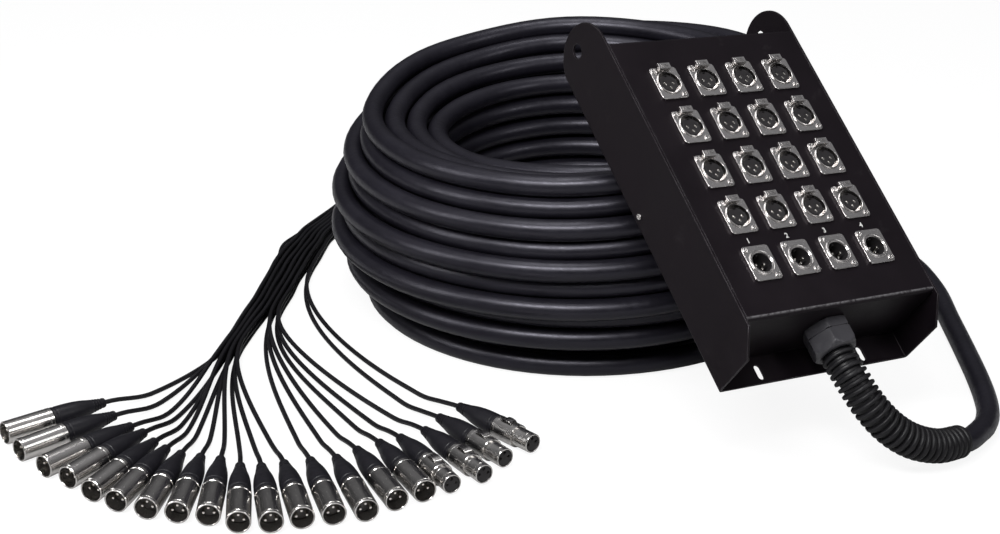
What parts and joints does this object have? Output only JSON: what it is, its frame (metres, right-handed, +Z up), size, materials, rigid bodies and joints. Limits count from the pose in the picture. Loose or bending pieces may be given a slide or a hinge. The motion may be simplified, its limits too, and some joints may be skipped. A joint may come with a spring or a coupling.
{
  "type": "stage box snake",
  "caption": "Sheet-steel stage box with rows of panel connectors, leaning on its coiled multicore cable, with a fan of plug tails at the far end.",
  "frame": {"origin": "flat underside of the coil's outer turn, at the front of the coil, on the floor", "axes": "+Z up from the floor, +X to the viewer's right along the front of the coil, +Y away from the viewer towards the coil's centre"},
  "size_m": [0.821, 0.7478, 0.3129],
  "materials": {
    "box_paint": "satin",
    "nickel": "satin",
    "jacket": "matt",
    "wire": "matt"
  },
  "bodies": {
    "snake": {"base_chassis": "box_paint", "top_cover": "box_paint", "gland_body": "nickel", "gland_locknut": "nickel", "gland_nut": "nickel", "inner_loom": "wire", "return_socket_1": "nickel", "return_socket_2": "nickel", "return_socket_3": "nickel", "return_socket_4": "nickel", "held_cable": "jacket", "cable_boot": "jacket", "cable_loop": "jacket", "cable_coil": "jacket", "coil_core": "jacket", "trunk_end": "jacket", "breakout": "jacket", "tail_fan": "jacket", "input_plug_01": "nickel", "input_plug_02": "nickel", "input_plug_03": "nickel", "input_plug_04": "nickel", "input_plug_05": "nickel", "input_plug_06": "nickel", "input_plug_07": "nickel", "input_plug_08": "nickel", "input_plug_09": "nickel", "input_plug_10": "nickel", "input_plug_11": "nickel", "input_plug_12": "nickel", "input_plug_13": "nickel", "input_plug_14": "nickel", "input_plug_15": "nickel", "input_plug_16": "nickel", "return_plug_1": "nickel", "return_plug_2": "nickel", "return_plug_3": "nickel", "return_plug_4": "nickel"},
    "plug_latch_1_body": {"plug_latch_1": "nickel"},
    "plug_latch_2_body": {"plug_latch_2": "nickel"},
    "plug_latch_3_body": {"plug_latch_3": "nickel"},
    "plug_latch_4_body": {"plug_latch_4": "nickel"},
    "socket_latch_01_body": {"socket_latch_01": "nickel"},
    "socket_latch_02_body": {"socket_latch_02": "nickel"},
    "socket_latch_03_body": {"socket_latch_03": "nickel"},
    "socket_latch_04_body": {"socket_latch_04": "nickel"},
    "socket_latch_05_body": {"socket_latch_05": "nickel"},
    "socket_latch_06_body": {"socket_latch_06": "nickel"},
    "socket_latch_07_body": {"socket_latch_07": "nickel"},
    "socket_latch_08_body": {"socket_latch_08": "nickel"},
    "socket_latch_09_body": {"socket_latch_09": "nickel"},
    "socket_latch_10_body": {"socket_latch_10": "nickel"},
    "socket_latch_11_body": {"socket_latch_11": "nickel"},
    "socket_latch_12_body": {"socket_latch_12": "nickel"},
    "socket_latch_13_body": {"socket_latch_13": "nickel"},
    "socket_latch_14_body": {"socket_latch_14": "nickel"},
    "socket_latch_15_body": {"socket_latch_15": "nickel"},
    "socket_latch_16_body": {"socket_latch_16": "nickel"}
  },
  "joints": [
    {"name": "plug_latch_1_press", "type": "slide", "parent": "snake", "child": "plug_latch_1_body", "axis": [0, 0, -1], "range_m": [0, 0.0012], "stiffness_N_per_m": 1500, "springref_m": -0.0008},
    {"name": "plug_latch_2_press", "type": "slide", "parent": "snake", "child": "plug_latch_2_body", "axis": [0, 0, -1], "range_m": [0, 0.0012], "stiffness_N_per_m": 1500, "springref_m": -0.0008},
    {"name": "plug_latch_3_press", "type": "slide", "parent": "snake", "child": "plug_latch_3_body", "axis": [0, 0, -1], "range_m": [0, 0.0012], "stiffness_N_per_m": 1500, "springref_m": -0.0008},
    {"name": "plug_latch_4_press", "type": "slide", "parent": "snake", "child": "plug_latch_4_body", "axis": [0, 0, -1], "range_m": [0, 0.0012], "stiffness_N_per_m": 1500, "springref_m": -0.0008},
    {"name": "socket_latch_01_press", "type": "slide", "parent": "snake", "child": "socket_latch_01_body", "axis": [-0.3786, 0.4843, -0.7887], "range_m": [0, 0.0015], "stiffness_N_per_m": 1200, "springref_m": -0.0008},
    {"name": "socket_latch_02_press", "type": "slide", "parent": "snake", "child": "socket_latch_02_body", "axis": [-0.3786, 0.4843, -0.7887], "range_m": [0, 0.0015], "stiffness_N_per_m": 1200, "springref_m": -0.0008},
    {"name": "socket_latch_03_press", "type": "slide", "parent": "snake", "child": "socket_latch_03_body", "axis": [-0.3786, 0.4843, -0.7887], "range_m": [0, 0.0015], "stiffness_N_per_m": 1200, "springref_m": -0.0008},
    {"name": "socket_latch_04_press", "type": "slide", "parent": "snake", "child": "socket_latch_04_body", "axis": [-0.3786, 0.4843, -0.7887], "range_m": [0, 0.0015], "stiffness_N_per_m": 1200, "springref_m": -0.0008},
    {"name": "socket_latch_05_press", "type": "slide", "parent": "snake", "child": "socket_latch_05_body", "axis": [-0.3786, 0.4843, -0.7887], "range_m": [0, 0.0015], "stiffness_N_per_m": 1200, "springref_m": -0.0008},
    {"name": "socket_latch_06_press", "type": "slide", "parent": "snake", "child": "socket_latch_06_body", "axis": [-0.3786, 0.4843, -0.7887], "range_m": [0, 0.0015], "stiffness_N_per_m": 1200, "springref_m": -0.0008},
    {"name": "socket_latch_07_press", "type": "slide", "parent": "snake", "child": "socket_latch_07_body", "axis": [-0.3786, 0.4843, -0.7887], "range_m": [0, 0.0015], "stiffness_N_per_m": 1200, "springref_m": -0.0008},
    {"name": "socket_latch_08_press", "type": "slide", "parent": "snake", "child": "socket_latch_08_body", "axis": [-0.3786, 0.4843, -0.7887], "range_m": [0, 0.0015], "stiffness_N_per_m": 1200, "springref_m": -0.0008},
    {"name": "socket_latch_09_press", "type": "slide", "parent": "snake", "child": "socket_latch_09_body", "axis": [-0.3786, 0.4843, -0.7887], "range_m": [0, 0.0015], "stiffness_N_per_m": 1200, "springref_m": -0.0008},
    {"name": "socket_latch_10_press", "type": "slide", "parent": "snake", "child": "socket_latch_10_body", "axis": [-0.3786, 0.4843, -0.7887], "range_m": [0, 0.0015], "stiffness_N_per_m": 1200, "springref_m": -0.0008},
    {"name": "socket_latch_11_press", "type": "slide", "parent": "snake", "child": "socket_latch_11_body", "axis": [-0.3786, 0.4843, -0.7887], "range_m": [0, 0.0015], "stiffness_N_per_m": 1200, "springref_m": -0.0008},
    {"name": "socket_latch_12_press", "type": "slide", "parent": "snake", "child": "socket_latch_12_body", "axis": [-0.3786, 0.4843, -0.7887], "range_m": [0, 0.0015], "stiffness_N_per_m": 1200, "springref_m": -0.0008},
    {"name": "socket_latch_13_press", "type": "slide", "parent": "snake", "child": "socket_latch_13_body", "axis": [-0.3786, 0.4843, -0.7887], "range_m": [0, 0.0015], "stiffness_N_per_m": 1200, "springref_m": -0.0008},
    {"name": "socket_latch_14_press", "type": "slide", "parent": "snake", "child": "socket_latch_14_body", "axis": [-0.3786, 0.4843, -0.7887], "range_m": [0, 0.0015], "stiffness_N_per_m": 1200, "springref_m": -0.0008},
    {"name": "socket_latch_15_press", "type": "slide", "parent": "snake", "child": "socket_latch_15_body", "axis": [-0.3786, 0.4843, -0.7887], "range_m": [0, 0.0015], "stiffness_N_per_m": 1200, "springref_m": -0.0008},
    {"name": "socket_latch_16_press", "type": "slide", "parent": "snake", "child": "socket_latch_16_body", "axis": [-0.3786, 0.4843, -0.7887], "range_m": [0, 0.0015], "stiffness_N_per_m": 1200, "springref_m": -0.0008}
  ]
}
